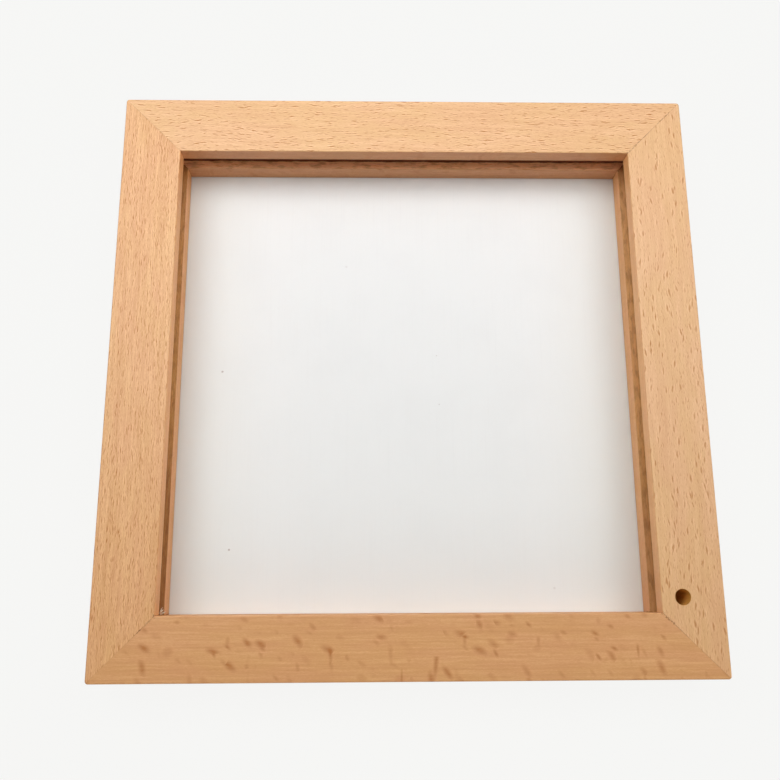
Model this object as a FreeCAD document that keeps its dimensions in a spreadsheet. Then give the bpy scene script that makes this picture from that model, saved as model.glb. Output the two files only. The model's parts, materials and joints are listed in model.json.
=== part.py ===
import FreeCAD, Part
import math
import os
import Sketcher

# A square screen printing frame, in millimetres, +Z up. The origin is the centre of the underside.
# Four beech rails of square section are mitred at 45 degrees, each corner pinned from below by two
# V-nails. A groove runs round the inner wall. The mesh crosses the underside, is tucked up into a
# second groove there, and is held by four lengths of cord pressed in after it. One rail has a blind
# peg hole in its top face.

SIZES = {
    "side": (300.0, "outer side of the square"),
    "rail_width": (30.3, "width of a rail, seen from above"),
    "rail_height": (30.0, "height of a rail"),
    "corner_round": (1.5, "radius of the four upright outer corners"),
    "arris_round": (0.6, "radius of the eased top and bottom edges"),
    "lip_height": (8.5, "from the top face down to the wall groove"),
    "wall_groove_height": (11.0, "height of the groove in the inner wall"),
    "wall_groove_depth": (5.0, "depth of the groove in the inner wall"),
    "cord_groove_inset": (13.0, "from the inner wall to the cord groove"),
    "cord_groove_width": (4.4, "width of the cord groove"),
    "cord_groove_depth": (6.0, "depth of the cord groove"),
    "mesh_thickness": (0.25, "thickness of the mesh"),
    "mesh_hem": (3.0, "mesh left past the cord groove"),
    "cord_diameter": (3.8, "diameter of the cord"),
    "cord_clearance": (0.05, "gap between the cord and the tucked mesh"),
    "nail_leg": (5.0, "length of each leg of a V-nail"),
    "nail_gauge": (0.6, "thickness of the V-nail strip"),
    "nail_height": (8.0, "height of a V-nail"),
    "inner_nail_inset": (9.5, "from the inner wall to the point of the inner V-nail"),
    "outer_nail_inset": (6.0, "from the outer face to the point of the outer V-nail"),
    "hole_diameter": (7.7, "diameter of the peg hole"),
    "hole_depth": (20.0, "depth of the peg hole"),
    "hole_from_side": (20.0, "from the outer face to the peg hole's axis"),
    "hole_from_end": (37.5, "from the near end to the peg hole's axis"),
}
DRILL_POINT_ANGLE = 118.0

# Each rail is modelled as the near one, and turned about +Z to its own side.
RAIL_TURNS = {"near_rail": 0.0, "right_rail": 90.0, "far_rail": 180.0, "left_rail": 270.0}


class Length:
    """A length as a number, with the sheet expression that drives it."""

    def __init__(self, value, expression):
        self.value = value
        self.expression = expression

    def __add__(self, other):
        return Length(self.value + other.value, f"({self.expression} + {other.expression})")

    def __sub__(self, other):
        return Length(self.value - other.value, f"({self.expression} - {other.expression})")

    def __mul__(self, factor):
        return Length(self.value * factor, f"({self.expression} * {factor!r})")


def write_sheet(doc):
    """Put the driving sizes in a sheet and return them as lengths, by name."""
    sheet = doc.addObject("Spreadsheet::Sheet", "Sizes")
    lengths = {}
    for row, (alias, (value, meaning)) in enumerate(SIZES.items(), start=1):
        sheet.set(f"A{row}", meaning)
        sheet.set(f"B{row}", str(value))
        sheet.setAlias(f"B{row}", alias)
        lengths[alias] = Length(value, f"Sizes.{alias}")
    doc.recompute()
    return lengths


def new_body(doc, label):
    body = doc.addObject("PartDesign::Body", label)
    body.Label = label
    return body


def new_sketch(body, name, plane="XY_Plane"):
    """An empty sketch on one of the body's own origin planes."""
    sketch = body.newObject("Sketcher::SketchObject", name)
    support = next(item for item in body.Origin.OriginFeatures if item.Role == plane)
    sketch.AttachmentSupport = [(support, "")]
    sketch.MapMode = "FlatFace"
    return sketch


def fix_coordinate(sketch, kind, geometry, point, length):
    """Hold one coordinate of a sketch point at a length from the sheet."""
    index = sketch.addConstraint(Sketcher.Constraint(kind, geometry, point, length.value))
    sketch.setExpression(f"Constraints[{index}]", length.expression)


def add_outline(sketch, corners, arc_centres=None):
    """Draw a closed outline. An arc about arc_centres[i] runs from corner i to the next."""
    arc_centres = arc_centres or {}
    spots = [FreeCAD.Vector(x.value, y.value, 0) for x, y in corners]
    pieces = []
    for number, start in enumerate(spots):
        end = spots[(number + 1) % len(spots)]
        if number in arc_centres:
            centre_x, centre_y = arc_centres[number]
            pieces.append(arc_between(start, end, FreeCAD.Vector(centre_x.value, centre_y.value, 0)))
        else:
            pieces.append((Part.LineSegment(start, end), 1, 2))
    indices = [sketch.addGeometry(geometry, False) for geometry, _, _ in pieces]
    for number, (x, y) in enumerate(corners):
        following = (number + 1) % len(corners)
        sketch.addConstraint(Sketcher.Constraint(
            "Coincident", indices[number], pieces[number][2], indices[following], pieces[following][1]))
        fix_coordinate(sketch, "DistanceX", indices[number], pieces[number][1], x)
        fix_coordinate(sketch, "DistanceY", indices[number], pieces[number][1], y)
    for number, (centre_x, _) in arc_centres.items():
        fix_coordinate(sketch, "DistanceX", indices[number], 3, centre_x)


def arc_between(start, end, centre):
    """The short arc from start to end, and which of its own ends lies at each."""
    circle = Part.Circle(centre, FreeCAD.Vector(0, 0, 1), start.distanceToPoint(centre))
    first = circle.parameter(start)
    last = circle.parameter(end)
    turn = (last - first) % (2 * math.pi)
    if turn < math.pi:
        return Part.ArcOfCircle(circle, first, first + turn), 1, 2
    return Part.ArcOfCircle(circle, last, last + 2 * math.pi - turn), 2, 1


def add_square(sketch, reach):
    """A square about the origin whose sides lie at +reach and -reach."""
    back = reach * -1
    add_outline(sketch, [(back, back), (reach, back), (reach, reach), (back, reach)])


def add_pad(body, name, sketch, height):
    pad = body.newObject("PartDesign::Pad", name)
    pad.Profile = sketch
    pad.setExpression("Length", height.expression)
    body.Document.recompute()
    return pad


def add_pocket(body, name, sketch, depth=None):
    """Cut upwards from the sketch plane by depth, or along the whole body if depth is None."""
    before = body.Shape.Volume
    pocket = body.newObject("PartDesign::Pocket", name)
    pocket.Profile = sketch
    if depth is None:
        pocket.Type = "ThroughAll"
        pocket.SideType = "Symmetric"
    else:
        pocket.Reversed = True
        pocket.setExpression("Length", depth.expression)
    body.Document.recompute()
    if body.Shape.Volume >= before:
        raise RuntimeError(f"{name} removed nothing from {body.Label}")
    return pocket


def nail_outline(point, size, across, along):
    """The L-shaped plan of a V-nail. Its point lies at (across, along) times point from the origin."""
    tip = point
    inside = point - size["nail_gauge"]
    leg_end = point - size["nail_leg"]
    plan = [
        (tip, tip),
        (leg_end, tip),
        (leg_end, inside),
        (inside, inside),
        (inside, leg_end),
        (tip, leg_end),
    ]
    return [(x * across, y * along) for x, y in plan]


def nail_points(size):
    """How far the point of each V-nail at a corner lies from the centre lines of the frame."""
    half = size["side"] * 0.5
    inner = half - size["rail_width"] + size["inner_nail_inset"]
    return inner, half - size["outer_nail_inset"]


def make_rail(doc, label, size):
    """One mitred rail, lying along X on the near side, with its grooves and V-nail kerfs."""
    half = size["side"] * 0.5
    wall = half - size["rail_width"]
    tip = half - size["corner_round"]
    mitre_end = half - size["corner_round"] * (1 - math.sqrt(0.5))
    body = new_body(doc, label)

    plan = new_sketch(body, f"{label}_plan")
    add_outline(
        plan,
        [(wall * -1, wall * -1), (wall, wall * -1), (mitre_end, mitre_end * -1), (tip, half * -1),
         (tip * -1, half * -1), (mitre_end * -1, mitre_end * -1)],
        {2: (tip, tip * -1), 4: (tip * -1, tip * -1)})
    blank = add_pad(body, f"{label}_blank", plan, size["rail_height"])

    eased = body.newObject("PartDesign::Fillet", f"{label}_eased")
    eased.Base = (blank, long_edges(blank.Shape))
    eased.setExpression("Radius", size["arris_round"].expression)
    doc.recompute()

    low = size["rail_height"] - size["lip_height"] - size["wall_groove_height"]
    high = low + size["wall_groove_height"]
    wall_groove = new_sketch(body, f"{label}_wall_groove", "YZ_Plane")
    add_rectangle(wall_groove, (wall + size["wall_groove_depth"]) * -1, wall * -1, low, high)
    add_pocket(body, f"{label}_wall_groove_cut", wall_groove)

    near_side = wall + size["cord_groove_inset"]
    cord_groove = new_sketch(body, f"{label}_cord_groove", "YZ_Plane")
    add_rectangle(cord_groove, (near_side + size["cord_groove_width"]) * -1, near_side * -1,
                  size["side"] * 0, size["cord_groove_depth"])
    add_pocket(body, f"{label}_cord_groove_cut", cord_groove)

    kerfs = new_sketch(body, f"{label}_kerfs")
    for point in nail_points(size):
        for side in (-1, 1):
            add_outline(kerfs, nail_outline(point, size, side, -1))
    add_pocket(body, f"{label}_kerf_cuts", kerfs, size["nail_height"])
    return body


def add_rectangle(sketch, left, right, low, high):
    add_outline(sketch, [(left, low), (right, low), (right, high), (left, high)])


def long_edges(shape):
    """The top and bottom edges of a mitred blank, all but those on its mitres."""
    names = []
    for number, edge in enumerate(shape.Edges, start=1):
        middle = edge.valueAt((edge.FirstParameter + edge.LastParameter) / 2)
        level = abs(edge.Vertexes[0].Z - edge.Vertexes[-1].Z) < 1e-6
        on_mitre = abs(abs(middle.x) - abs(middle.y)) < 1e-6
        if level and not on_mitre:
            names.append(f"Edge{number}")
    return names


def drill_peg_hole(rail, size):
    """The blind hole, drilled down from the rail's top face near its near end."""
    half = size["side"] * 0.5
    mark = new_sketch(rail, "peg_hole_mark")
    mark.setExpression("AttachmentOffset.Base.z", size["rail_height"].expression)
    circle = Part.Circle(FreeCAD.Vector(0, 0, 0), FreeCAD.Vector(0, 0, 1), size["hole_diameter"].value / 2)
    index = mark.addGeometry(circle, False)
    radius = mark.addConstraint(Sketcher.Constraint("Radius", index, size["hole_diameter"].value / 2))
    mark.setExpression(f"Constraints[{radius}]", (size["hole_diameter"] * 0.5).expression)
    fix_coordinate(mark, "DistanceX", index, 3, (half - size["hole_from_end"]) * -1)
    fix_coordinate(mark, "DistanceY", index, 3, (half - size["hole_from_side"]) * -1)
    rail.Document.recompute()
    before = rail.Shape.Volume
    hole = rail.newObject("PartDesign::Hole", "peg_hole")
    hole.Profile = mark
    hole.DepthType = "Dimension"
    hole.DrillPoint = "Angled"
    hole.DrillPointAngle = DRILL_POINT_ANGLE
    hole.setExpression("Diameter", size["hole_diameter"].expression)
    hole.setExpression("Depth", size["hole_depth"].expression)
    rail.Document.recompute()
    if rail.Shape.Volume >= before:
        raise RuntimeError("the peg hole removed nothing")


def make_rails(doc, size):
    rails = []
    for label, degrees in RAIL_TURNS.items():
        rail = make_rail(doc, label, size)
        if label == "right_rail":
            drill_peg_hole(rail, size)
        rail.Placement = FreeCAD.Placement(
            FreeCAD.Vector(0, 0, size["mesh_thickness"].value),
            FreeCAD.Rotation(FreeCAD.Vector(0, 0, 1), degrees))
        rail.setExpression("Placement.Base.z", size["mesh_thickness"].expression)
        rails.append(rail)
    return rails


def cord_groove_sides(size):
    """How far the two sides of the cord groove lie from the centre lines of the frame."""
    inner = size["side"] * 0.5 - size["rail_width"] + size["cord_groove_inset"]
    return inner, inner + size["cord_groove_width"]


def make_mesh(doc, size):
    """The mesh: a flat square on the underside, with a channel tucked up into the cord groove."""
    inner, outer = cord_groove_sides(size)
    thickness = size["mesh_thickness"]
    body = new_body(doc, "mesh")

    flat = new_sketch(body, "mesh_flat")
    add_square(flat, outer + size["mesh_hem"])
    add_pad(body, "mesh_sheet", flat, thickness)

    tucked = new_sketch(body, "mesh_tucked")
    add_square(tucked, outer)
    add_square(tucked, inner)
    add_pad(body, "mesh_channel", tucked, size["cord_groove_depth"] + thickness)

    hollow = new_sketch(body, "mesh_hollow")
    add_square(hollow, outer - thickness)
    add_square(hollow, inner + thickness)
    add_pocket(body, "mesh_channel_hollow", hollow, size["cord_groove_depth"])
    return body


def make_cords(doc, size):
    """Four cords in the cord groove. The near and far ones run through; the others butt between."""
    inner, outer = cord_groove_sides(size)
    radius = size["cord_diameter"] * 0.5
    track = (inner + outer) * 0.5
    height = size["cord_groove_depth"] - size["cord_clearance"] - radius
    through = outer - size["mesh_thickness"] - size["cord_clearance"]
    between = track - radius - size["cord_clearance"]
    layout = {
        "near_cord": ("x", -1, through),
        "far_cord": ("x", 1, through),
        "left_cord": ("y", -1, between),
        "right_cord": ("y", 1, between),
    }
    turns = {
        "x": FreeCAD.Rotation(FreeCAD.Vector(0, 1, 0), 90),
        "y": FreeCAD.Rotation(FreeCAD.Vector(1, 0, 0), -90),
    }
    cords = []
    for label, (axis, side, reach) in layout.items():
        cord = doc.addObject("Part::Cylinder", label)
        cord.Label = label
        cord.setExpression("Radius", radius.expression)
        cord.setExpression("Height", (reach * 2).expression)
        cord.Placement = FreeCAD.Placement(FreeCAD.Vector(0, 0, 0), turns[axis])
        across = "y" if axis == "x" else "x"
        cord.setExpression(f"Placement.Base.{axis}", (reach * -1).expression)
        cord.setExpression(f"Placement.Base.{across}", (track * side).expression)
        cord.setExpression("Placement.Base.z", height.expression)
        cords.append(cord)
    return cords


def make_nails(doc, size):
    """Two V-nails at each corner, as separate solids of one body."""
    body = new_body(doc, "v_nails")
    body.AllowCompound = True
    plans = new_sketch(body, "v_nail_plans")
    for point in nail_points(size):
        add_outline(plans, nail_outline(point, size, 1, 1))
    pair = add_pad(body, "v_nail_pair", plans, size["nail_height"])
    pattern = body.newObject("PartDesign::PolarPattern", "v_nail_pattern")
    pattern.Originals = [pair]
    pattern.Axis = (next(item for item in body.Origin.OriginFeatures if item.Role == "Z_Axis"), [""])
    pattern.Angle = 360
    pattern.Occurrences = 4
    body.Tip = pattern
    body.setExpression("Placement.Base.z", size["mesh_thickness"].expression)
    return body


def check(doc, pieces):
    """Stop before anything is written if an object failed or a piece isn't sound."""
    for item in doc.Objects:
        if {"Invalid", "Error"} & set(item.State):
            raise RuntimeError(f"{item.Name} failed: {item.State}")
    for piece in pieces:
        if piece.Shape.isNull() or not piece.Shape.isValid():
            raise RuntimeError(f"{piece.Label} has no valid shape")


def write(pieces):
    os.makedirs("parts", exist_ok=True)
    for piece in pieces:
        piece.Shape.exportStep(f"parts/{piece.Label}.step")
        box = piece.Shape.BoundBox
        print(f"{piece.Label:12s} {len(piece.Shape.Solids)} solid(s), "
              f"volume {piece.Shape.Volume:10.1f} mm3, "
              f"x {box.XMin:.2f} to {box.XMax:.2f}, y {box.YMin:.2f} to {box.YMax:.2f}, "
              f"z {box.ZMin:.2f} to {box.ZMax:.2f}")


def main():
    doc = FreeCAD.newDocument("ScreenPrintingFrame")
    size = write_sheet(doc)
    pieces = make_rails(doc, size)
    pieces.append(make_mesh(doc, size))
    pieces.extend(make_cords(doc, size))
    pieces.append(make_nails(doc, size))
    doc.recompute()
    check(doc, pieces)
    write(pieces)


main()
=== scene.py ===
import json
import math
import random

import bmesh
import bpy
from mathutils import Euler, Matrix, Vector


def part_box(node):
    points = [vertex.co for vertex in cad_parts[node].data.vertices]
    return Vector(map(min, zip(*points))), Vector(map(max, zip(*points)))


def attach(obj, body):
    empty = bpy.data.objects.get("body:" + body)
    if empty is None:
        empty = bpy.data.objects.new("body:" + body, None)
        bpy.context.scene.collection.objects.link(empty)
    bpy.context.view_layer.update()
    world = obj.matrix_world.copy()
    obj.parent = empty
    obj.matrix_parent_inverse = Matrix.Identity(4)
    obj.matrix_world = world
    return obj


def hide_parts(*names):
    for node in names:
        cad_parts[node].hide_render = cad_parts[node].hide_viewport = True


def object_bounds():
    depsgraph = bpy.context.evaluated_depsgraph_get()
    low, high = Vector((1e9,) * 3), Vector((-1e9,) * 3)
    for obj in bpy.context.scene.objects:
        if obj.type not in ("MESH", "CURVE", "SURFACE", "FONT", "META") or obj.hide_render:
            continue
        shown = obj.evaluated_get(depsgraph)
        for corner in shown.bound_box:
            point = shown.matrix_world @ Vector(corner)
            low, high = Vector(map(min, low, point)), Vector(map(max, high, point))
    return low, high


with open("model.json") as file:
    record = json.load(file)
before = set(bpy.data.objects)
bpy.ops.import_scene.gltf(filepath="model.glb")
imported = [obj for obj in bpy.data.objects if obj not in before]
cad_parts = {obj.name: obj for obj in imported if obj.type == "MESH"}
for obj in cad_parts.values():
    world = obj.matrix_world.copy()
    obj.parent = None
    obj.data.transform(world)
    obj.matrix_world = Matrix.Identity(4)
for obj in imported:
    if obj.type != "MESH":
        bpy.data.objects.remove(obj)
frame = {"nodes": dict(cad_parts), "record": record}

MM = 0.001
CAD_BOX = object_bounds()
SIDE = CAD_BOX[1].x - CAD_BOX[0].x
TOP = CAD_BOX[1].z
RAIL_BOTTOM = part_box("far_rail")[0].z
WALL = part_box("far_rail")[0].y

# The wall groove's levels and its depth, in millimetres, from the space stated for it.
GROOVE = next(item["box_m"] for item in frame["record"]["physics"]["openings"]
              if item["name"] == "far_wall_groove")
GROOVE_LOW, GROOVE_HIGH = GROOVE[0][2] / MM, GROOVE[1][2] / MM
GROOVE_DEPTH = (GROOVE[1][1] - WALL) / MM
HOLE = next(item for item in frame["record"]["mounts"] if item["name"] == "peg_hole")


# ---------------------------------------------------------------- node building

class Shader:
    """A material's node tree, built by short calls that return sockets."""

    def __init__(self, name):
        self.material = bpy.data.materials.new(name)
        self.material.use_nodes = True
        self.tree = self.material.node_tree
        self.surface = self.tree.nodes["Principled BSDF"]

    def node(self, kind, inputs=(), **settings):
        made = self.tree.nodes.new(kind)
        for key, value in settings.items():
            setattr(made, key, value)
        for key, value in dict(inputs).items():
            self.feed(made.inputs[key], value)
        return made

    def feed(self, socket, value):
        if isinstance(value, bpy.types.NodeSocket):
            self.tree.links.new(value, socket)
        else:
            socket.default_value = value

    def math(self, operation, first, second=0.0, third=0.0, clamp=False):
        made = self.node("ShaderNodeMath", {0: first, 1: second, 2: third}, operation=operation)
        made.use_clamp = clamp
        return made.outputs[0]

    def add(self, *values):
        total = values[0]
        for value in values[1:]:
            total = self.math("ADD", total, value)
        return total

    def times(self, *values):
        product = values[0]
        for value in values[1:]:
            product = self.math("MULTIPLY", product, value)
        return product

    def vector(self, operation, first, second=(0, 0, 0)):
        made = self.node("ShaderNodeVectorMath", {0: first, 1: second}, operation=operation)
        return made.outputs["Value"] if operation in ("LENGTH", "DISTANCE") else made.outputs["Vector"]

    def combine(self, x, y, z):
        return self.node("ShaderNodeCombineXYZ", {0: x, 1: y, 2: z}).outputs[0]

    def split(self, value):
        return self.node("ShaderNodeSeparateXYZ", {0: value}).outputs

    def scaled(self, parts, sizes):
        """A position in units of the given sizes, which are in millimetres."""
        return self.combine(*(self.math("DIVIDE", part, size) for part, size in zip(parts, sizes)))

    def place(self):
        """The x, y and z of the shaded point in the frame, in millimetres."""
        coordinates = self.node("ShaderNodeTexCoord").outputs["Object"]
        return self.split(self.vector("MULTIPLY", coordinates, (1 / MM, 1 / MM, 1 / MM)))

    def reach(self, x, y):
        """How far out from the middle the point is, as a square's half side."""
        return self.math("MAXIMUM", self.math("ABSOLUTE", x), self.math("ABSOLUTE", y))

    def noise(self, parts, sizes, detail=2.0, roughness=0.5):
        """Noise from 0 to 1 with grains of about the given sizes."""
        return self.node("ShaderNodeTexNoise", {
            "Vector": self.scaled(parts, sizes), "Scale": 1.0, "Detail": detail,
            "Roughness": roughness}).outputs[0]

    def swing(self, value, amount):
        """A value from 0 to 1 turned into one from -amount to amount."""
        return self.math("MULTIPLY_ADD", value, 2 * amount, -amount)

    def ramp(self, value, start, end, low=0.0, high=1.0):
        """A smooth step of value from low at start to high at end."""
        return self.node("ShaderNodeMapRange", {
            "Value": value, "From Min": start, "From Max": end, "To Min": low, "To Max": high},
            interpolation_type="SMOOTHSTEP").outputs[0]

    def mix(self, factor, first, second, blend="MIX"):
        made = self.node("ShaderNodeMix", data_type="RGBA", blend_type=blend)
        self.feed(made.inputs["Factor"], factor)
        self.feed(made.inputs["A"], first)
        self.feed(made.inputs["B"], second)
        return made.outputs["Result"]

    def bump(self, height, distance, strength=1.0):
        """A normal from a height between 0 and 1, over a distance in metres."""
        return self.node("ShaderNodeBump", {
            "Height": height, "Distance": distance, "Strength": strength}).outputs[0]


def assign(obj, material):
    obj.data.materials.clear()
    obj.data.materials.append(material)
    for face in obj.data.polygons:
        face.material_index = 0


# ---------------------------------------------------------------- beech

# How strong a dash's pale edges are against its dark core, and how far apart the rails' grains are, in mm.
PALE_EDGE = -0.14
SEED_STEP = 173.0
# The level above which the hole's colour starts, in millimetres.
BORE_FLOOR = 6.0


def rgb(red, green, blue):
    return (red, green, blue, 1.0)


# Painted shade towards the frame's ends, on the inner wall and the groove's ledge.
END_SHADE_BROWN = rgb(0.21, 0.046, 0.005)
# Painted shade under the groove's upper edge and in its back corner, also the colour of the groove's
# blotches.
GROOVE_SHADE_AND_BLOTCHES = rgb(0.15, 0.036, 0.005)
# Painted contact shadow on the inner wall just above the mesh.
CONTACT_SHADOW_BROWN = rgb(0.20, 0.09, 0.04)
JOINT_BROWN = rgb(0.17, 0.048, 0.004)
BORE_TINT = rgb(1.06, 1.00, 0.48)


def cell_parts(shader, parts, cell):
    """The nearest grain feature: the offset from it in millimetres, and three chances of its own."""
    where = shader.scaled(parts, cell)
    cells = shader.node("ShaderNodeTexVoronoi", {"Vector": where, "Scale": 1.0})
    offset = shader.vector("SUBTRACT", where, cells.outputs["Position"])
    offset = shader.split(shader.vector("MULTIPLY", offset, cell))
    chances = shader.node("ShaderNodeSeparateColor", {0: cells.outputs["Color"]}).outputs
    return offset, chances


def dashes(shader, parts, cell, size, share, lean):
    """Spindle-shaped rays cut end on, one to a cell: a dark core between pale edges.

    Parts are the places along, across and into the grain. Cell and size are in mm, in that order.
    """
    offset, chances = cell_parts(shader, parts, cell)
    slant = shader.swing(chances[1], lean)
    side = shader.math("MULTIPLY_ADD", offset[0], slant, offset[1])
    growth = shader.ramp(chances[2], 0.0, 1.0, 1.35, 0.75)
    core_at = shader.scaled((offset[0], side, offset[2]), size)
    core = shader.ramp(shader.times(shader.vector("LENGTH", core_at), growth), 1.0, 0.3)
    edge_at = shader.scaled((offset[0], side, offset[2]), (size[0] * 1.1, size[1] * 2.8, size[2] * 1.1))
    edge = shader.ramp(shader.times(shader.vector("LENGTH", edge_at), growth), 1.0, 0.55)
    strength = shader.times(shader.math("GREATER_THAN", share, chances[0]),
                            shader.ramp(chances[2], 0.0, 1.0, 0.35, 1.0))
    return shader.times(core, strength), shader.times(edge, strength)


def spots(shader, parts, inner, cell, size, share, turns, sway, stretches):
    """Broad rays cut nearly lengthwise: blurred spots that turn across the grain away from the wall.

    Turns (in radians) and stretches are each given near the inner wall and near the outer face.
    Sway is how far one spot's turn may differ from the next one's.
    """
    offset, chances = cell_parts(shader, parts, cell)
    turn = shader.ramp(inner, 6.0, 26.0, *turns)
    turn = shader.add(turn, shader.swing(chances[1], sway))
    cosine, sine = shader.math("COSINE", turn), shader.math("SINE", turn)
    length = shader.math("SUBTRACT", shader.times(offset[0], cosine), shader.times(offset[1], sine))
    width = shader.add(shader.times(offset[0], sine), shader.times(offset[1], cosine))
    stretch = shader.ramp(inner, 6.0, 26.0, *stretches)
    growth = shader.ramp(chances[2], 0.0, 1.0, 1.35, 0.7)
    reach = shader.combine(
        shader.math("DIVIDE", length, shader.times(stretch, size[0])),
        shader.math("DIVIDE", width, shader.math("DIVIDE", size[1], shader.math("POWER", stretch, 0.7))),
        shader.math("DIVIDE", offset[2], size[2]))
    body = shader.ramp(shader.times(shader.vector("LENGTH", reach), growth), 1.0, 0.0)
    return shader.times(body, shader.ramp(chances[0], 1.0 - share, 1.0))


def edge_closeness(shader, x, y, z):
    """How near the point is to a rail's arris: 1 on it, and 0 from about 2 mm away."""
    reach = shader.reach(x, y)
    lesser = shader.math("MINIMUM", shader.math("ABSOLUTE", x), shader.math("ABSOLUTE", y))
    outer = shader.math("SUBTRACT", SIDE / 2 / MM, reach)
    corner = shader.math("SUBTRACT", SIDE / 2 / MM, lesser)
    inner = shader.math("ABSOLUTE", shader.math("SUBTRACT", reach, WALL / MM))
    above = shader.math("SUBTRACT", TOP / MM, z)
    below = shader.math("SUBTRACT", z, RAIL_BOTTOM / MM)
    side = shader.math("MINIMUM", outer, inner)
    level = shader.math("MINIMUM", above, below)
    nearest = shader.math("MINIMUM", shader.add(side, level), shader.add(outer, corner))
    return shader.ramp(nearest, 1.9, 0.5)


def groove_shade_and_blotches(shader, parts, within):
    """How dark the wall groove is: painted shade under its upper edge and in its back corner, and blotched.
    """
    run, across, z = parts
    ragged = shader.noise((run, across, z), (8.0, 3.0, 3.0), 3.0, 0.6)
    inside = shader.times(shader.ramp(within, GROOVE_DEPTH - 2.3, GROOVE_DEPTH - 0.5),
                          shader.ramp(within, GROOVE_DEPTH + 0.7, GROOVE_DEPTH + 0.4),
                          shader.math("GREATER_THAN", z, GROOVE_LOW - 0.2),
                          shader.math("LESS_THAN", z, GROOVE_HIGH + 0.4))
    # Painted shade under the groove's upper edge.
    upper = shader.ramp(shader.add(z, shader.swing(ragged, 3.0)),
                        GROOVE_HIGH - 4.5, GROOVE_HIGH - 0.2, 0.0, 0.8)
    blotches = shader.ramp(shader.noise((run, across, z), (4.2, 2.0, 2.4), 2.0, 0.5), 0.60, 0.72, 0.0, 0.22)
    # Painted shade in the groove's back corner.
    corner = shader.times(shader.ramp(shader.add(within, shader.swing(ragged, 0.7)),
                                      GROOVE_DEPTH - 0.7, GROOVE_DEPTH),
                          shader.ramp(z, GROOVE_LOW + 3.5, GROOVE_LOW + 1.8, 0.0, 0.97))
    return shader.times(inside, shader.math("MAXIMUM", shader.math("MAXIMUM", upper, blotches), corner))


def ledge_mask(shader, within, z, level):
    """1 on the wall groove's level lower face, and 0 elsewhere."""
    return shader.times(level, shader.ramp(within, GROOVE_DEPTH + 0.4, GROOVE_DEPTH + 0.2),
                        shader.ramp(within, 0.1, 0.35),
                        shader.math("LESS_THAN", z, GROOVE_HIGH - 1.0),
                        shader.math("GREATER_THAN", z, GROOVE_LOW - 1.0))


def mitre_line(shader, x, y, z, along, level, strengths):
    """The dark line where two rails meet: a hairline that comes and goes, chipped at the inner corner.

    Strengths are for the low end and the high end, each as (at the inner corner, further out).
    """
    wide = shader.reach(x, y)
    narrow = shader.math("MINIMUM", shader.math("ABSOLUTE", x), shader.math("ABSOLUTE", y))
    off = shader.math("SUBTRACT", wide, narrow)
    reach = shader.math("SUBTRACT", wide, WALL / MM)
    ragged = shader.noise((x, y, z), (1.1, 1.1, 1.1), 3.0, 0.7)
    fading = shader.noise((x, y, z), (6.0, 6.0, 6.0), 2.0, 0.5)
    chips = shader.times(shader.ramp(reach, 9.0, 0.0, 0.15, 1.5), shader.ramp(ragged, 0.48, 0.60), level)
    width = shader.add(shader.ramp(ragged, 0.3, 0.7, 0.12, 0.34), chips)
    (low_inner, low_outer), (high_inner, high_outer) = strengths
    at_inner = shader.ramp(along, -40.0, 40.0, low_inner, high_inner)
    at_outer = shader.ramp(along, -40.0, 40.0, low_outer, high_outer)
    outward = shader.ramp(reach, 5.0, 13.0)
    strength = shader.add(shader.times(outward, at_outer),
                          shader.times(shader.math("SUBTRACT", 1.0, outward), at_inner))
    strength = shader.times(strength, shader.ramp(fading, 0.36, 0.56, 0.30, 1.0))
    return shader.times(shader.ramp(off, width, shader.times(width, 0.5)), strength)


def ray_flecks(shader, rays, grain, place, inner):
    """The sum of the rail's kinds of ray. Grain and place are positions along, across and into the rail."""
    flecks = 0.0
    for kind, strength, *sizes in rays:
        if kind == "spots":
            layer = spots(shader, place, inner, *sizes)
            flecks = shader.math("MULTIPLY_ADD", layer, strength, flecks)
        else:
            core, edge = dashes(shader, grain, *sizes)
            flecks = shader.math("MULTIPLY_ADD", core, strength, flecks)
            flecks = shader.math("MULTIPLY_ADD", edge, strength * PALE_EDGE, flecks)
    return flecks


def shade_and_blotch(shader, wood, place, y, within, masks, tone, dirt_and_shade):
    """The wood with painted shade on its groove, towards the frame's ends and just above the mesh, and
    darker patches on its ledge. Masks are the inner wall's and the ledge's.
    """
    inner_wall_mask, on_ledge = masks
    patches = shader.noise(place, (7.0, 2.2, 2.2), 3.0, 0.6)
    patches = shader.times(on_ledge, shader.ramp(patches, 0.42, 0.68, 0.0, 0.42))
    wood = shader.mix(patches, wood, rgb(tone[0] * 0.30, tone[1] * 0.20, tone[2] * 0.10))
    # Painted shade: the inner wall and the ledge get darker towards the frame's ends.
    wall_near, ledge_near, ledge_far = dirt_and_shade
    end_shade = shader.add(shader.times(inner_wall_mask, shader.ramp(y, -60.0, -118.0, 0.0, wall_near)),
                        shader.times(on_ledge, shader.ramp(y, -15.0, -75.0, 0.0, ledge_near)),
                        shader.times(on_ledge, shader.ramp(y, 75.0, 118.0, 0.0, ledge_far)))
    wood = shader.mix(end_shade, wood, END_SHADE_BROWN)
    # Painted contact shadow on the inner wall just above the mesh.
    contact = shader.times(inner_wall_mask, shader.ramp(place[2], 4.0, 0.4, 0.0, 0.15))
    wood = shader.mix(contact, wood, CONTACT_SHADOW_BROWN)
    # Painted shade in the wall groove, with blotches.
    return shader.mix(groove_shade_and_blotches(shader, place, within), wood, GROOVE_SHADE_AND_BLOTCHES)


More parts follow.
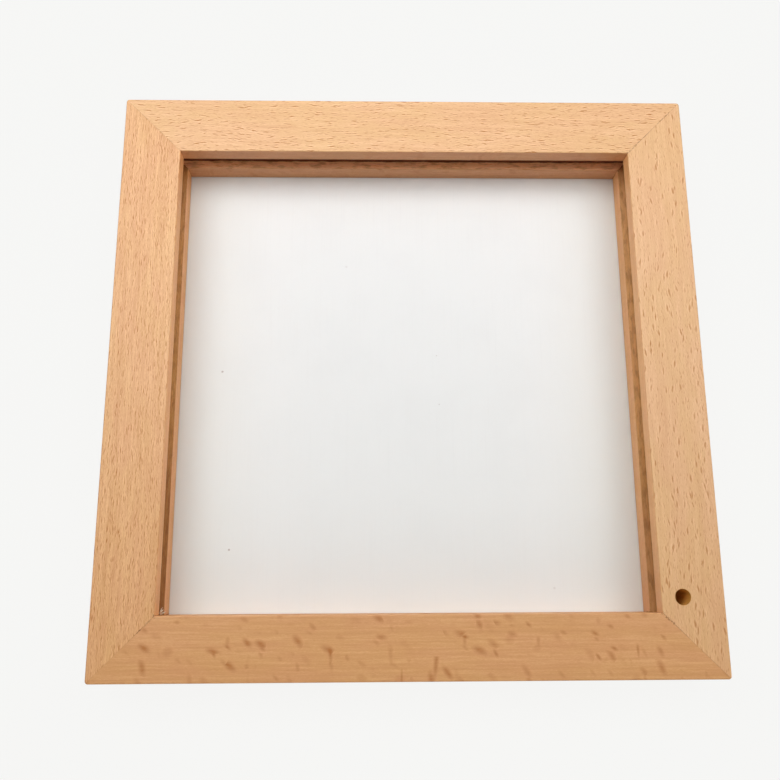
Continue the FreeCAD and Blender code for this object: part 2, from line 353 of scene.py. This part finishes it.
def beech(name, along_y, seed, tone, wall, ledge, dirt_and_shade, ray_tilt, rays, lines, drift, joints):
    """Sanded beech with a thin wax coat. The grain runs along X, or along Y if along_y.

    Tone is the top face's colour; wall and ledge are tints that paint light and shade on the inner wall and
    the groove's lower face, lighter or darker from rail to rail. The next tuple is how much painted shade
    those two get towards the frame's ends, as (wall at the near end, ledge at the near end, ledge at the far
    end).
    """
    shader = Shader(name)
    x, y, z = shader.place()
    facing = shader.split(shader.node("ShaderNodeTexCoord").outputs["Normal"])
    level = shader.ramp(shader.math("ABSOLUTE", facing[2]), 0.3, 0.8)
    along, across = (y, x) if along_y else (x, y)
    inner = shader.math("SUBTRACT", shader.math("ABSOLUTE", across), WALL / MM)
    within = shader.math("SUBTRACT", shader.reach(x, y), WALL / MM)
    run = shader.math("ADD", along, seed * SEED_STEP)
    place = (run, across, z)

    wander = shader.node("ShaderNodeSeparateColor", {0: shader.node("ShaderNodeTexNoise", {
        "Vector": shader.scaled(place, (60.0, 40.0, 40.0)), "Scale": 1.0,
        "Detail": 2.0}).outputs["Color"]}).outputs
    waver = shader.noise(place, (2.6, 1.3, 4.0), 2.0, 0.5)
    side = shader.add(across, shader.swing(wander[0], drift), shader.swing(waver, 0.45))
    depth = shader.add(z, shader.swing(wander[1], drift))
    tilt = math.radians(ray_tilt)
    tangential = shader.add(shader.times(side, math.cos(tilt)), shader.times(depth, math.sin(tilt)))
    radial = shader.math("SUBTRACT", shader.times(depth, math.cos(tilt)),
                         shader.times(side, math.sin(tilt)))
    grain = (run, tangential, radial)

    figure = shader.swing(shader.noise(grain, (22.0, 0.55, 0.9), 2.0, 0.55), lines)
    figure = shader.add(figure, shader.swing(shader.noise(grain, (120.0, 3.2, 3.2), 2.0, 0.6), lines * 0.55))
    pores = shader.noise(grain, (1.3, 0.22, 0.22), 2.0, 0.6)
    figure = shader.add(figure, shader.swing(pores, lines * 0.9))
    on_ledge = ledge_mask(shader, within, z, level)
    flecks = shader.times(ray_flecks(shader, rays, grain, (run, side, depth), inner),
                          shader.ramp(level, 0.0, 1.0, 0.15, 1.0),
                          shader.math("MULTIPLY_ADD", on_ledge, -0.6, 1.0))
    figure = shader.add(figure, flecks)

    rosy = shader.ramp(shader.noise(place, (34.0, 9.0, 9.0), 2.0, 0.5), 0.32, 0.68)
    base = shader.mix(rosy, rgb(tone[0] * 0.995, tone[1] * 1.010, tone[2] * 0.97),
                      rgb(tone[0] * 1.005, tone[1] * 0.988, tone[2] * 1.035))
    wood = shader.mix(shader.math("ADD", figure, 0.0, clamp=True), base,
                      rgb(tone[0] * 0.65, tone[1] * 0.43, tone[2] * 0.16))
    wood = shader.mix(shader.math("MULTIPLY", figure, -1.0, clamp=True), wood,
                      rgb(tone[0] * 1.50, tone[1] * 1.92, tone[2] * 2.6))

    # Painted light and shade: each rail's wall and ledge tints darken or lighten its inner wall and groove
    # ledge by how the light falls there, and on the near rail they paint a highlight along the inner arris.
    inner_wall_mask = shader.times(shader.ramp(within, GROOVE_DEPTH + 1.1, GROOVE_DEPTH + 0.5),
                       shader.math("SUBTRACT", 1.0, level))
    wood = shader.mix(inner_wall_mask, wood, rgb(*wall), "MULTIPLY")
    wood = shader.mix(on_ledge, wood, rgb(*ledge), "MULTIPLY")
    wood = shade_and_blotch(shader, wood, place, y, within, (inner_wall_mask, on_ledge), tone, dirt_and_shade)

    worn = shader.times(edge_closeness(shader, x, y, z),
                        shader.ramp(shader.noise((x, y, z), (5.0, 5.0, 5.0), 3.0, 0.6), 0.35, 0.6))
    wood = shader.mix(shader.times(worn, 0.10), wood, rgb(tone[0] * 1.15, tone[1] * 1.25, tone[2] * 1.4))
    joint = mitre_line(shader, x, y, z, along, level, joints)
    wood = shader.mix(joint, wood, JOINT_BROWN)

    bore = shader.vector("DISTANCE", shader.combine(x, y, 0.0),
                         (HOLE["pos_m"][0] / MM, HOLE["pos_m"][1] / MM, 0.0))
    bored = shader.times(shader.ramp(bore, HOLE["dims"]["r_mm"] + 0.12, HOLE["dims"]["r_mm"]),
                         shader.math("GREATER_THAN", z, BORE_FLOOR))
    wood = shader.mix(bored, wood, BORE_TINT, "MULTIPLY")

    shader.feed(shader.surface.inputs["Base Color"], wood)
    shader.feed(shader.surface.inputs["Roughness"],
                shader.add(0.40, shader.times(pores, 0.14), shader.times(worn, -0.08),
                           shader.times(joint, 0.5), shader.times(flecks, 0.2)))
    dents = shader.add(shader.times(flecks, 0.25), shader.times(joint, 0.05))
    relief = shader.math("SUBTRACT", shader.times(pores, 0.5), dents)
    shader.feed(shader.surface.inputs["Normal"], shader.bump(relief, 0.05 * MM))
    return shader.material


# Rays are (kind, strength, cell, size, share, ...): cell and size in millimetres, along, across and
# into the grain, and share is how many cells hold one. Dashes end with how far they lean from the
# grain, and spots with their turns and stretches.
FINE_DASHES = ("dashes", 0.91, (4.6, 1.20, 6.0), (2.3, 0.27, 6.0), 0.85, 0.08)
FAINT_DASHES = ("dashes", 0.60, (3.0, 0.90, 5.0), (1.4, 0.20, 5.0), 0.80, 0.12)
BOLD_DASHES = ("dashes", 0.90, (6.5, 2.4, 9.0), (2.3, 0.46, 9.0), 0.82, 0.14)
LONG_DASHES = ("dashes", 1.60, (6.2, 1.9, 8.0), (2.9, 0.29, 8.0), 0.85, 0.13)
BROAD_SPOTS = ("spots", 0.86, (7.8, 6.2, 1.6), (3.5, 1.9, 1.6), 0.76, (0.50, 1.00), 0.40, (1.0, 1.2))
CROSS_STREAKS = ("spots", 0.78, (16.0, 14.0, 1.6), (5.0, 1.6, 1.6), 0.62, (1.55, 1.60), 0.10, (0.6, 1.6))
THIN_DASHES = ("dashes", 0.30, (9.0, 2.2, 14.0), (2.8, 0.26, 9.0), 0.60, 0.05)


def dress_rails():
    # Each rail's wall and ledge are tints of painted light and shade, and the tuple after them is painted
    # shade towards the frame's ends.
    rails = {
        "left_rail": dict(along_y=True, seed=1, tone=(0.655, 0.337, 0.132), wall=(1.24, 1.14, 1.06),
                          ledge=(0.92, 0.86, 0.61), dirt_and_shade=(0.0, 0.38, 0.28), ray_tilt=4.0,
                          rays=[FINE_DASHES, FAINT_DASHES],
                          lines=0.46, drift=2.6, joints=((0.92, 0.12), (0.25, 0.25))),
        "right_rail": dict(along_y=True, seed=2, tone=(0.667, 0.372, 0.164), wall=(1.22, 1.11, 1.00),
                           ledge=(1.05, 1.00, 0.80), dirt_and_shade=(0.16, 0.26, 0.28), ray_tilt=-6.0,
                           rays=[BOLD_DASHES, FAINT_DASHES],
                           lines=0.28, drift=4.0, joints=((0.62, 0.24), (0.55, 0.62))),
        "far_rail": dict(along_y=False, seed=3, tone=(0.675, 0.375, 0.162), wall=(0.83, 0.68, 0.63),
                         ledge=(1.56, 1.58, 1.85), dirt_and_shade=(0.0, 0.0, 0.0), ray_tilt=5.0,
                         rays=[LONG_DASHES, FAINT_DASHES],
                         lines=0.30, drift=4.0, joints=((0.25, 0.25), (0.55, 0.62))),
        "near_rail": dict(along_y=False, seed=4, tone=(0.612, 0.299, 0.108), wall=(1.14, 1.20, 1.30),
                          ledge=(1.0, 0.95, 0.85), dirt_and_shade=(0.0, 0.30, 0.0), ray_tilt=84.0,
                          rays=[BROAD_SPOTS, CROSS_STREAKS, THIN_DASHES],
                          lines=0.31, drift=0.6, joints=((0.92, 0.12), (0.62, 0.24))),
    }
    for node, grain in rails.items():
        assign(frame["nodes"][node], beech("beech_" + node.split("_")[0], **grain))


# Slivers torn up at the near end of the left groove: (root x, y, z), and (tip x, y, z), in mm.
SLIVERS = (
    ((-119.8, -118.9, 19.6), (-117.5, -116.9, 22.2)),
    ((-120.6, -118.8, 18.9), (-120.3, -115.4, 21.6)),
    ((-119.3, -119.2, 18.2), (-116.8, -117.9, 20.0)),
    ((-121.3, -118.6, 19.4), (-122.2, -116.8, 20.8)),
    ((-120.2, -119.0, 17.8), (-118.7, -115.9, 19.4)),
    ((-119.4, -119.4, 20.6), (-117.6, -118.5, 22.6)))
SLIVER_STEPS = 8
SLIVER_SIDES = 6


def sliver(bm, root, tip, thick):
    """A tapered splinter that curls a little between its root and its tip."""
    root, tip = Vector(root) * MM, Vector(tip) * MM
    along = (tip - root).normalized()
    side = along.cross(Vector((0, 0, 1))).normalized()
    up = side.cross(along)
    rings = []
    for step in range(SLIVER_STEPS + 1):
        share = step / SLIVER_STEPS
        centre = root.lerp(tip, share) + up * math.sin(share * math.pi) * (tip - root).length * 0.12
        reach = thick * (1.0 - 0.9 * share * share)
        turns = [math.tau * part / SLIVER_SIDES for part in range(SLIVER_SIDES)]
        rings.append([
            bm.verts.new(centre + side * math.cos(turn) * reach + up * math.sin(turn) * reach * 0.5)
            for turn in turns])
    for first, second in zip(rings, rings[1:]):
        bridge(bm, first, second)
    bm.faces.new(rings[0])
    bm.faces.new(rings[-1])


def sliver_material():
    """Pale torn beech, darker in its fibres."""
    shader = Shader("torn_beech")
    x, y, z = shader.place()
    fibre = shader.noise((x, y, z), (0.15, 0.8, 0.3), 3.0, 0.6)
    shader.feed(shader.surface.inputs["Base Color"],
                shader.mix(fibre, rgb(0.86, 0.67, 0.45), rgb(0.97, 0.91, 0.79)))
    shader.feed(shader.surface.inputs["Roughness"], shader.math("MULTIPLY_ADD", fibre, 0.2, 0.6))
    shader.feed(shader.surface.inputs["Normal"], shader.bump(fibre, 0.03 * MM))
    return shader.material


def make_slivers():
    bm = bmesh.new()
    for number, (root, tip) in enumerate(SLIVERS):
        sliver(bm, root, tip, (0.52 - 0.04 * number) * MM)
    piece = mesh_object("groove_slivers", bm)
    assign(piece, sliver_material())
    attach(piece, "root")


# ---------------------------------------------------------------- mesh

THICKNESS = 0.25 * MM
CORD_GAP = 0.05 * MM
CHANNEL_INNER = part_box("far_cord")[0].y - CORD_GAP - THICKNESS / 2
CHANNEL_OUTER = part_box("far_cord")[1].y + CORD_GAP + THICKNESS / 2
CHANNEL_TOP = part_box("mesh")[1].z - THICKNESS / 2
HEM_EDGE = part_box("mesh")[1].x
# How tight the mesh's folds are, how ragged its cut edge is, and how many quads lie along a side.
FOLD_RADIUS = 0.45 * MM
RAGGED = 0.7 * MM
PER_SIDE = 44


def rounded(points, radius, steps=4):
    """The path through the points with each inner corner turned as an arc."""
    path = [Vector(points[0])]
    for before, corner, after in zip(points, points[1:], points[2:]):
        corner = Vector(corner)
        back = (Vector(before) - corner).normalized()
        ahead = (Vector(after) - corner).normalized()
        centre = corner + (back + ahead) * radius
        for step in range(steps + 1):
            turn = step / steps * math.pi / 2
            path.append(centre - ahead * radius * math.cos(turn) - back * radius * math.sin(turn))
    path.append(Vector(points[-1]))
    return path


def fold_profile():
    """The mesh's middle line, as (distance out, height), from near the centre to the hem's edge."""
    flat = THICKNESS / 2
    bends = rounded([
        (WALL, flat), (CHANNEL_INNER, flat), (CHANNEL_INNER, CHANNEL_TOP), (CHANNEL_OUTER, CHANNEL_TOP),
        (CHANNEL_OUTER, flat), (HEM_EDGE, flat)], FOLD_RADIUS)
    inner = [Vector((WALL * step / 8, flat)) for step in range(1, 8)]
    return inner + bends


def offset_profile(path, distance):
    """The path moved sideways by distance."""
    moved = []
    for number, point in enumerate(path):
        before = path[max(number - 1, 0)]
        after = path[min(number + 1, len(path) - 1)]
        along = (after - before).normalized()
        moved.append(point + Vector((-along.y, along.x)) * distance)
    return moved


def square_ring(bm, reach, height, per_side):
    """Vertices evenly round a square of the given reach."""
    corners = [(-1, -1), (1, -1), (1, 1), (-1, 1)]
    ring = []
    for start, end in zip(corners, corners[1:] + corners[:1]):
        for step in range(per_side):
            share = step / per_side
            spot = [(a + (b - a) * share) * reach for a, b in zip(start, end)]
            ring.append(bm.verts.new((spot[0], spot[1], height)))
    return ring


def bridge(bm, first, second):
    count = len(first)
    for number in range(count):
        following = (number + 1) % count
        bm.faces.new((first[number], first[following], second[following], second[number]))


def mesh_object(name, bm, smooth=True):
    bmesh.ops.recalc_face_normals(bm, faces=bm.faces)
    data = bpy.data.meshes.new(name)
    bm.to_mesh(data)
    bm.free()
    obj = bpy.data.objects.new(name, data)
    bpy.context.scene.collection.objects.link(obj)
    if smooth:
        data.polygons.foreach_set("use_smooth", [True] * len(data.polygons))
    return obj


def stretched_mesh():
    """The mesh as one thin closed sheet: flat, tucked up into the cord groove, and out to a ragged cut edge.
    """
    random.seed(11)
    path = fold_profile()
    upper = offset_profile(path, THICKNESS / 2)
    lower = offset_profile(path, -THICKNESS / 2)
    bm = bmesh.new()
    rings = {}
    for side, profile in (("upper", upper), ("lower", lower)):
        rings[side] = [square_ring(bm, point.x, point.y, PER_SIDE) for point in profile]
        middle = bm.verts.new((0, 0, profile[0].y))
        first = rings[side][0]
        for number in range(len(first)):
            bm.faces.new((first[number], first[(number + 1) % len(first)], middle))
        for inner, outer in zip(rings[side], rings[side][1:]):
            bridge(bm, inner, outer)
    bridge(bm, rings["upper"][-1], rings["lower"][-1])
    for top, bottom in zip(rings["upper"][-1], rings["lower"][-1]):
        trim = 1 - random.uniform(0, RAGGED) / HEM_EDGE
        for vert in (top, bottom):
            vert.co.x *= trim
            vert.co.y *= trim
    return mesh_object("screen_mesh", bm)


THREAD_RADIUS = 0.06 * MM
THREAD_STEPS = 4
THREAD_ROOT = 0.9 * MM


def frayed_hem():
    """Loose thread ends along the cut edge of the mesh, lying against the rails' undersides."""
    random.seed(5)
    bm = bmesh.new()
    for turn in range(4):
        ahead = Vector((math.cos(turn * math.pi / 2), math.sin(turn * math.pi / 2), 0))
        outward = Vector((ahead.y, -ahead.x, 0))
        place = -HEM_EDGE + 2 * MM
        while place < HEM_EDGE - 2 * MM:
            length = random.uniform(0.6, 2.4) * MM
            lean = random.uniform(-0.5, 0.5)
            bend = random.uniform(-0.35, 0.35)
            rings = []
            for step in range(THREAD_STEPS + 1):
                share = step / THREAD_STEPS
                reach = THREAD_RADIUS * (1.2 - 0.6 * share)
                middle = ahead * (place + (lean * share + bend * share * share) * length)
                middle += outward * (HEM_EDGE - THREAD_ROOT + share * (length + THREAD_ROOT))
                middle += Vector((0, 0, THICKNESS * 0.5))
                rings.append([bm.verts.new(middle + (ahead * a + Vector((0, 0, b))) * reach)
                              for a, b in ((-1, 0), (0, -1), (1, 0), (0, 1))])
            for first, second in zip(rings, rings[1:]):
                bridge(bm, first, second)
            bm.faces.new(rings[0])
            bm.faces.new(rings[-1])
            place += random.uniform(1.0, 5.0) * MM
    return mesh_object("hem_threads", bm)


# Specks on the mesh: (x, y) in millimetres, radius in millimetres, and depth of colour.
SPECKS = (((-98.0, 6.0), 0.75, 0.55), ((-91.0, -88.0), 0.75, 0.60), ((17.0, 15.0), 0.60, 0.32),
          ((18.0, -12.0), 0.55, 0.30), ((-32.0, 66.0), 0.90, 0.14), ((75.0, -108.0), 0.90, 0.16))


# The distance from thread to thread, in millimetres.
THREAD_PITCH = 0.25


def mesh_material():
    """White woven mesh, fine enough to look smooth from a little way off."""
    shader = Shader("white_mesh")
    x, y, z = shader.place()
    drift = shader.times(shader.noise((x, y, z), (9.0, 9.0, 9.0), 3.0, 0.6), 2.5)
    warp = shader.math("SINE", shader.times(shader.add(x, drift), math.tau / THREAD_PITCH))
    weft = shader.math("SINE", shader.times(shader.math("SUBTRACT", y, drift), math.tau / THREAD_PITCH))
    weave = shader.math("MULTIPLY_ADD", shader.times(warp, weft), 0.5, 0.5)

    smudge = shader.noise((x, y, z), (38.0, 38.0, 38.0), 4.0, 0.55)
    colour = shader.mix(shader.ramp(smudge, 0.42, 0.75), rgb(0.885, 0.889, 0.884), rgb(0.868, 0.872, 0.868))
    # Painted shade: the mesh gets darker towards the left and right walls, towards the near side and next to
    # the far wall.
    dirt_and_shade = shader.add(shader.ramp(shader.math("ABSOLUTE", x), 66.0, 122.0, 0.0, 0.75),
                        shader.ramp(y, 70.0, -122.0, 0.0, 0.41),
                        shader.ramp(y, 75.0, 120.0, 0.0, 0.20))
    colour = shader.mix(dirt_and_shade, colour, rgb(0.778, 0.797, 0.772))
    streaks = shader.noise((x, y, z), (0.8, 60.0, 60.0), 2.0, 0.6)
    colour = shader.mix(shader.times(shader.ramp(streaks, 0.5, 0.8), 0.10), colour, rgb(0.72, 0.71, 0.70))
    colour = shader.mix(shader.times(weave, 0.05), colour, rgb(0.55, 0.55, 0.55))
    # Painted shadow where the mesh meets the rails' inner walls.
    from_wall = shader.math("SUBTRACT", WALL / MM, shader.reach(x, y))
    wall_contact_shadow = shader.times(shader.ramp(from_wall, 1.0, 0.0, 0.0, 0.09), shader.ramp(from_wall, -1.0, -0.5),
                         shader.math("GREATER_THAN", z, THICKNESS / 2 / MM))
    colour = shader.mix(wall_contact_shadow, colour, rgb(0.30, 0.19, 0.12))
    edge = shader.noise((x, y, z), (0.6, 0.6, 0.6), 2.0, 0.6)
    for (speck_x, speck_y), radius, depth in SPECKS:
        away = shader.vector("DISTANCE", shader.combine(x, y, 0.0), (speck_x, speck_y, 0.0))
        away = shader.add(away, shader.swing(edge, radius * 0.7))
        colour = shader.mix(shader.ramp(away, radius, radius * 0.3, 0.0, depth), colour,
                            rgb(0.30, 0.20, 0.17))
    shader.feed(shader.surface.inputs["Base Color"], colour)
    shader.feed(shader.surface.inputs["Roughness"], shader.math("MULTIPLY_ADD", weave, 0.15, 0.6))
    shader.surface.inputs["Specular IOR Level"].default_value = 0.15
    shader.feed(shader.surface.inputs["Normal"], shader.bump(weave, 0.02 * MM))
    return shader.material


def make_mesh():
    piece = stretched_mesh()
    weave = mesh_material()
    assign(piece, weave)
    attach(piece, "root")
    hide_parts("mesh")
    threads = frayed_hem()
    assign(threads, weave)
    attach(threads, "root")


# ---------------------------------------------------------------- cords and nails

STRANDS = 3
STRAND_SIDES = 12
CORD_PITCH = 9.0 * MM
CORD_STEP = 0.8 * MM
END_GAP = 0.1 * MM


def twisted_cord(node):
    """A cord laid up from three strands, along the run of the node that it stands for."""
    low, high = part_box(node)
    centre = (low + high) / 2
    outer = (high.z - low.z) / 2
    strand = outer / (1 + 2 / math.sqrt(3))
    along = Vector((1, 0, 0)) if high.x - low.x > high.y - low.y else Vector((0, 1, 0))
    side = Vector((-along.y, along.x, 0))
    up = Vector((0, 0, 1))
    length = (high - low).dot(along)
    steps = round(length / CORD_STEP)
    bm = bmesh.new()
    for number in range(STRANDS):
        rings = []
        for step in range(steps + 1):
            travel = (step / steps - 0.5) * (length - END_GAP)
            turn = math.tau * (travel / CORD_PITCH + number / STRANDS)
            outward = side * math.cos(turn) + up * math.sin(turn)
            spin = (up * math.cos(turn) - side * math.sin(turn)) * math.tau * (outer - strand) / CORD_PITCH
            heading = (along + spin).normalized()
            sideways = heading.cross(outward).normalized()
            middle = centre + along * travel + outward * (outer - strand)
            taper = 0.82 if step in (0, steps) else 1.0
            turns = [math.tau * part / STRAND_SIDES for part in range(STRAND_SIDES)]
            rings.append([
                bm.verts.new(middle + (outward * math.cos(a) + sideways * math.sin(a)) * strand * taper)
                for a in turns])
        for first, second in zip(rings, rings[1:]):
            bridge(bm, first, second)
        bm.faces.new(rings[0])
        bm.faces.new(rings[-1])
    return mesh_object("twisted_" + node, bm)


def cord_material(along_y, run_at, level):
    """Off-white cotton, with painted shade in the valleys between the strands."""
    shader = Shader("cotton_cord_y" if along_y else "cotton_cord_x")
    x, y, z = shader.place()
    fibres = shader.noise((x, y, z), (0.35, 0.35, 0.35), 3.0, 0.6)
    reach = shader.math("SUBTRACT", shader.math("ABSOLUTE", x if along_y else y), run_at / MM)
    from_axis = shader.vector("LENGTH", shader.combine(
        reach, shader.math("SUBTRACT", z, level / MM), 0.0))
    valley_shade = shader.ramp(from_axis, 1.7, 1.1)
    # Random darker patches of dirt on the cord.
    dirt_and_shade = shader.ramp(shader.noise((x, y, z), (14.0, 14.0, 14.0), 2.0, 0.5), 0.4, 0.7)
    colour = shader.mix(fibres, rgb(0.56, 0.52, 0.44), rgb(0.80, 0.77, 0.70))
    colour = shader.mix(shader.times(dirt_and_shade, 0.3), colour, rgb(0.50, 0.45, 0.36))
    # Painted shade in the valleys between the strands.
    colour = shader.mix(shader.times(valley_shade, 0.6), colour, rgb(0.25, 0.22, 0.17))
    shader.feed(shader.surface.inputs["Base Color"], colour)
    shader.feed(shader.surface.inputs["Roughness"], shader.math("MULTIPLY_ADD", fibres, 0.1, 0.85))
    shader.feed(shader.surface.inputs["Normal"], shader.bump(fibres, 0.1 * MM))
    return shader.material


def steel_material():
    shader = Shader("nail_steel")
    x, y, z = shader.place()
    drawn = shader.noise((x, y, z), (0.3, 0.3, 4.0), 3.0, 0.6)
    stained = shader.ramp(shader.noise((x, y, z), (1.6, 1.6, 1.6), 3.0, 0.6), 0.45, 0.7)
    colour = shader.mix(drawn, rgb(0.42, 0.42, 0.43), rgb(0.66, 0.66, 0.67))
    colour = shader.mix(shader.times(stained, 0.5), colour, rgb(0.24, 0.19, 0.15))
    shader.feed(shader.surface.inputs["Base Color"], colour)
    shader.surface.inputs["Metallic"].default_value = 1.0
    shader.feed(shader.surface.inputs["Roughness"],
                shader.add(0.28, shader.times(drawn, 0.2), shader.times(stained, 0.2)))
    shader.feed(shader.surface.inputs["Normal"], shader.bump(drawn, 0.02 * MM))
    return shader.material


def make_fastenings():
    low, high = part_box("far_cord")
    middle = (low + high) / 2
    materials = {flag: cord_material(flag, middle.y, middle.z) for flag in (False, True)}
    for node in ("far_cord", "near_cord", "left_cord", "right_cord"):
        piece = twisted_cord(node)
        assign(piece, materials[node in ("left_cord", "right_cord")])
        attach(piece, "root")
        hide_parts(node)
    assign(frame["nodes"]["v_nails"], steel_material())


# ---------------------------------------------------------------- stage

FLOOR_REACH = 4.0


def make_floor():
    bm = bmesh.new()
    bm.faces.new([bm.verts.new((a * FLOOR_REACH, b * FLOOR_REACH, 0))
                  for a, b in ((-1, -1), (1, -1), (1, 1), (-1, 1))])
    floor = mesh_object("floor", bm, smooth=False)
    shader = Shader("pale_floor")
    shader.surface.inputs["Base Color"].default_value = rgb(0.030, 0.030, 0.030)
    shader.surface.inputs["Roughness"].default_value = 0.9
    shader.surface.inputs["Specular IOR Level"].default_value = 0.0
    shader.surface.inputs["Emission Color"].default_value = rgb(1.0, 1.0, 0.985)
    shader.surface.inputs["Emission Strength"].default_value = 0.895
    assign(floor, shader.material)


def soft_light(name, azimuth, elevation, distance, width, height, watts, diffuse=True):
    """A soft light aimed at the origin. Azimuth 0 is on the far side, and 90 on the right."""
    data = bpy.data.lights.new(name, "AREA")
    data.shape = "ELLIPSE"
    data.size = width
    data.size_y = height
    data.energy = watts
    if not diffuse:
        data.cycles.max_bounces = 0
    lamp = bpy.data.objects.new(name, data)
    turn, lift = math.radians(azimuth), math.radians(elevation)
    toward = Vector((math.sin(turn) * math.cos(lift), math.cos(turn) * math.cos(lift), math.sin(lift)))
    lamp.location = toward * distance
    lamp.rotation_euler = (-toward).to_track_quat("-Z", "Y").to_euler()
    lamp.visible_camera = False
    lamp.visible_diffuse = diffuse
    bpy.context.scene.collection.objects.link(lamp)


def make_lights():
    soft_light("far_left", -60, 60, 0.9, 0.6, 0.6, 3.1)
    soft_light("far_right", 60, 60, 0.9, 0.6, 0.6, 3.2)
    soft_light("far_middle", -15, 60, 0.9, 0.6, 0.6, 1.5)
    soft_light("near_fill", 180, 35, 1.8, 1.2, 1.2, 3.5)
    soft_light("right_fill", 120, 35, 1.8, 1.2, 1.2, 1.2)
    soft_light("overhead", 0, 88, 1.8, 1.2, 1.2, 2.4)
    soft_light("far_sheen", -5, 52, 0.9, 1.5, 0.6, 8.0, diffuse=False)


def make_world():
    """A dim sky with a pale band at the horizon, behind the floor's far edge."""
    world = bpy.data.worlds.new("studio")
    bpy.context.scene.world = world
    world.use_nodes = True
    tree = world.node_tree
    height = tree.nodes.new("ShaderNodeSeparateXYZ")
    tree.links.new(tree.nodes.new("ShaderNodeTexCoord").outputs["Generated"], height.inputs[0])
    band = tree.nodes.new("ShaderNodeMapRange")
    band.interpolation_type = "SMOOTHSTEP"
    for name, value in (("From Min", 0.21), ("From Max", 0.235), ("To Min", 0.92), ("To Max", 0.05)):
        band.inputs[name].default_value = value
    tree.links.new(height.outputs[2], band.inputs["Value"])
    tree.links.new(band.outputs[0], tree.nodes["Background"].inputs["Strength"])
    tree.nodes["Background"].inputs["Color"].default_value = rgb(1.0, 1.0, 0.99)


def make_camera():
    """Above and a little to the near side, looking down at about 77 degrees."""
    data = bpy.data.cameras.new("camera")
    data.sensor_width = 36.0
    data.lens = 39.50
    camera = bpy.data.objects.new("camera", data)
    camera.location = (-0.0608 * SIDE, -0.3662 * SIDE, TOP + 1.3860 * SIDE)
    camera.rotation_euler = Euler((math.radians(13.35), math.radians(-1.21), math.radians(-0.32)))
    bpy.context.scene.collection.objects.link(camera)
    bpy.context.scene.camera = camera


def main():
    bpy.context.scene.view_settings.view_transform = "Standard"
    make_camera()
    make_floor()
    make_world()
    make_lights()
    dress_rails()
    make_slivers()
    make_mesh()
    make_fastenings()


main()
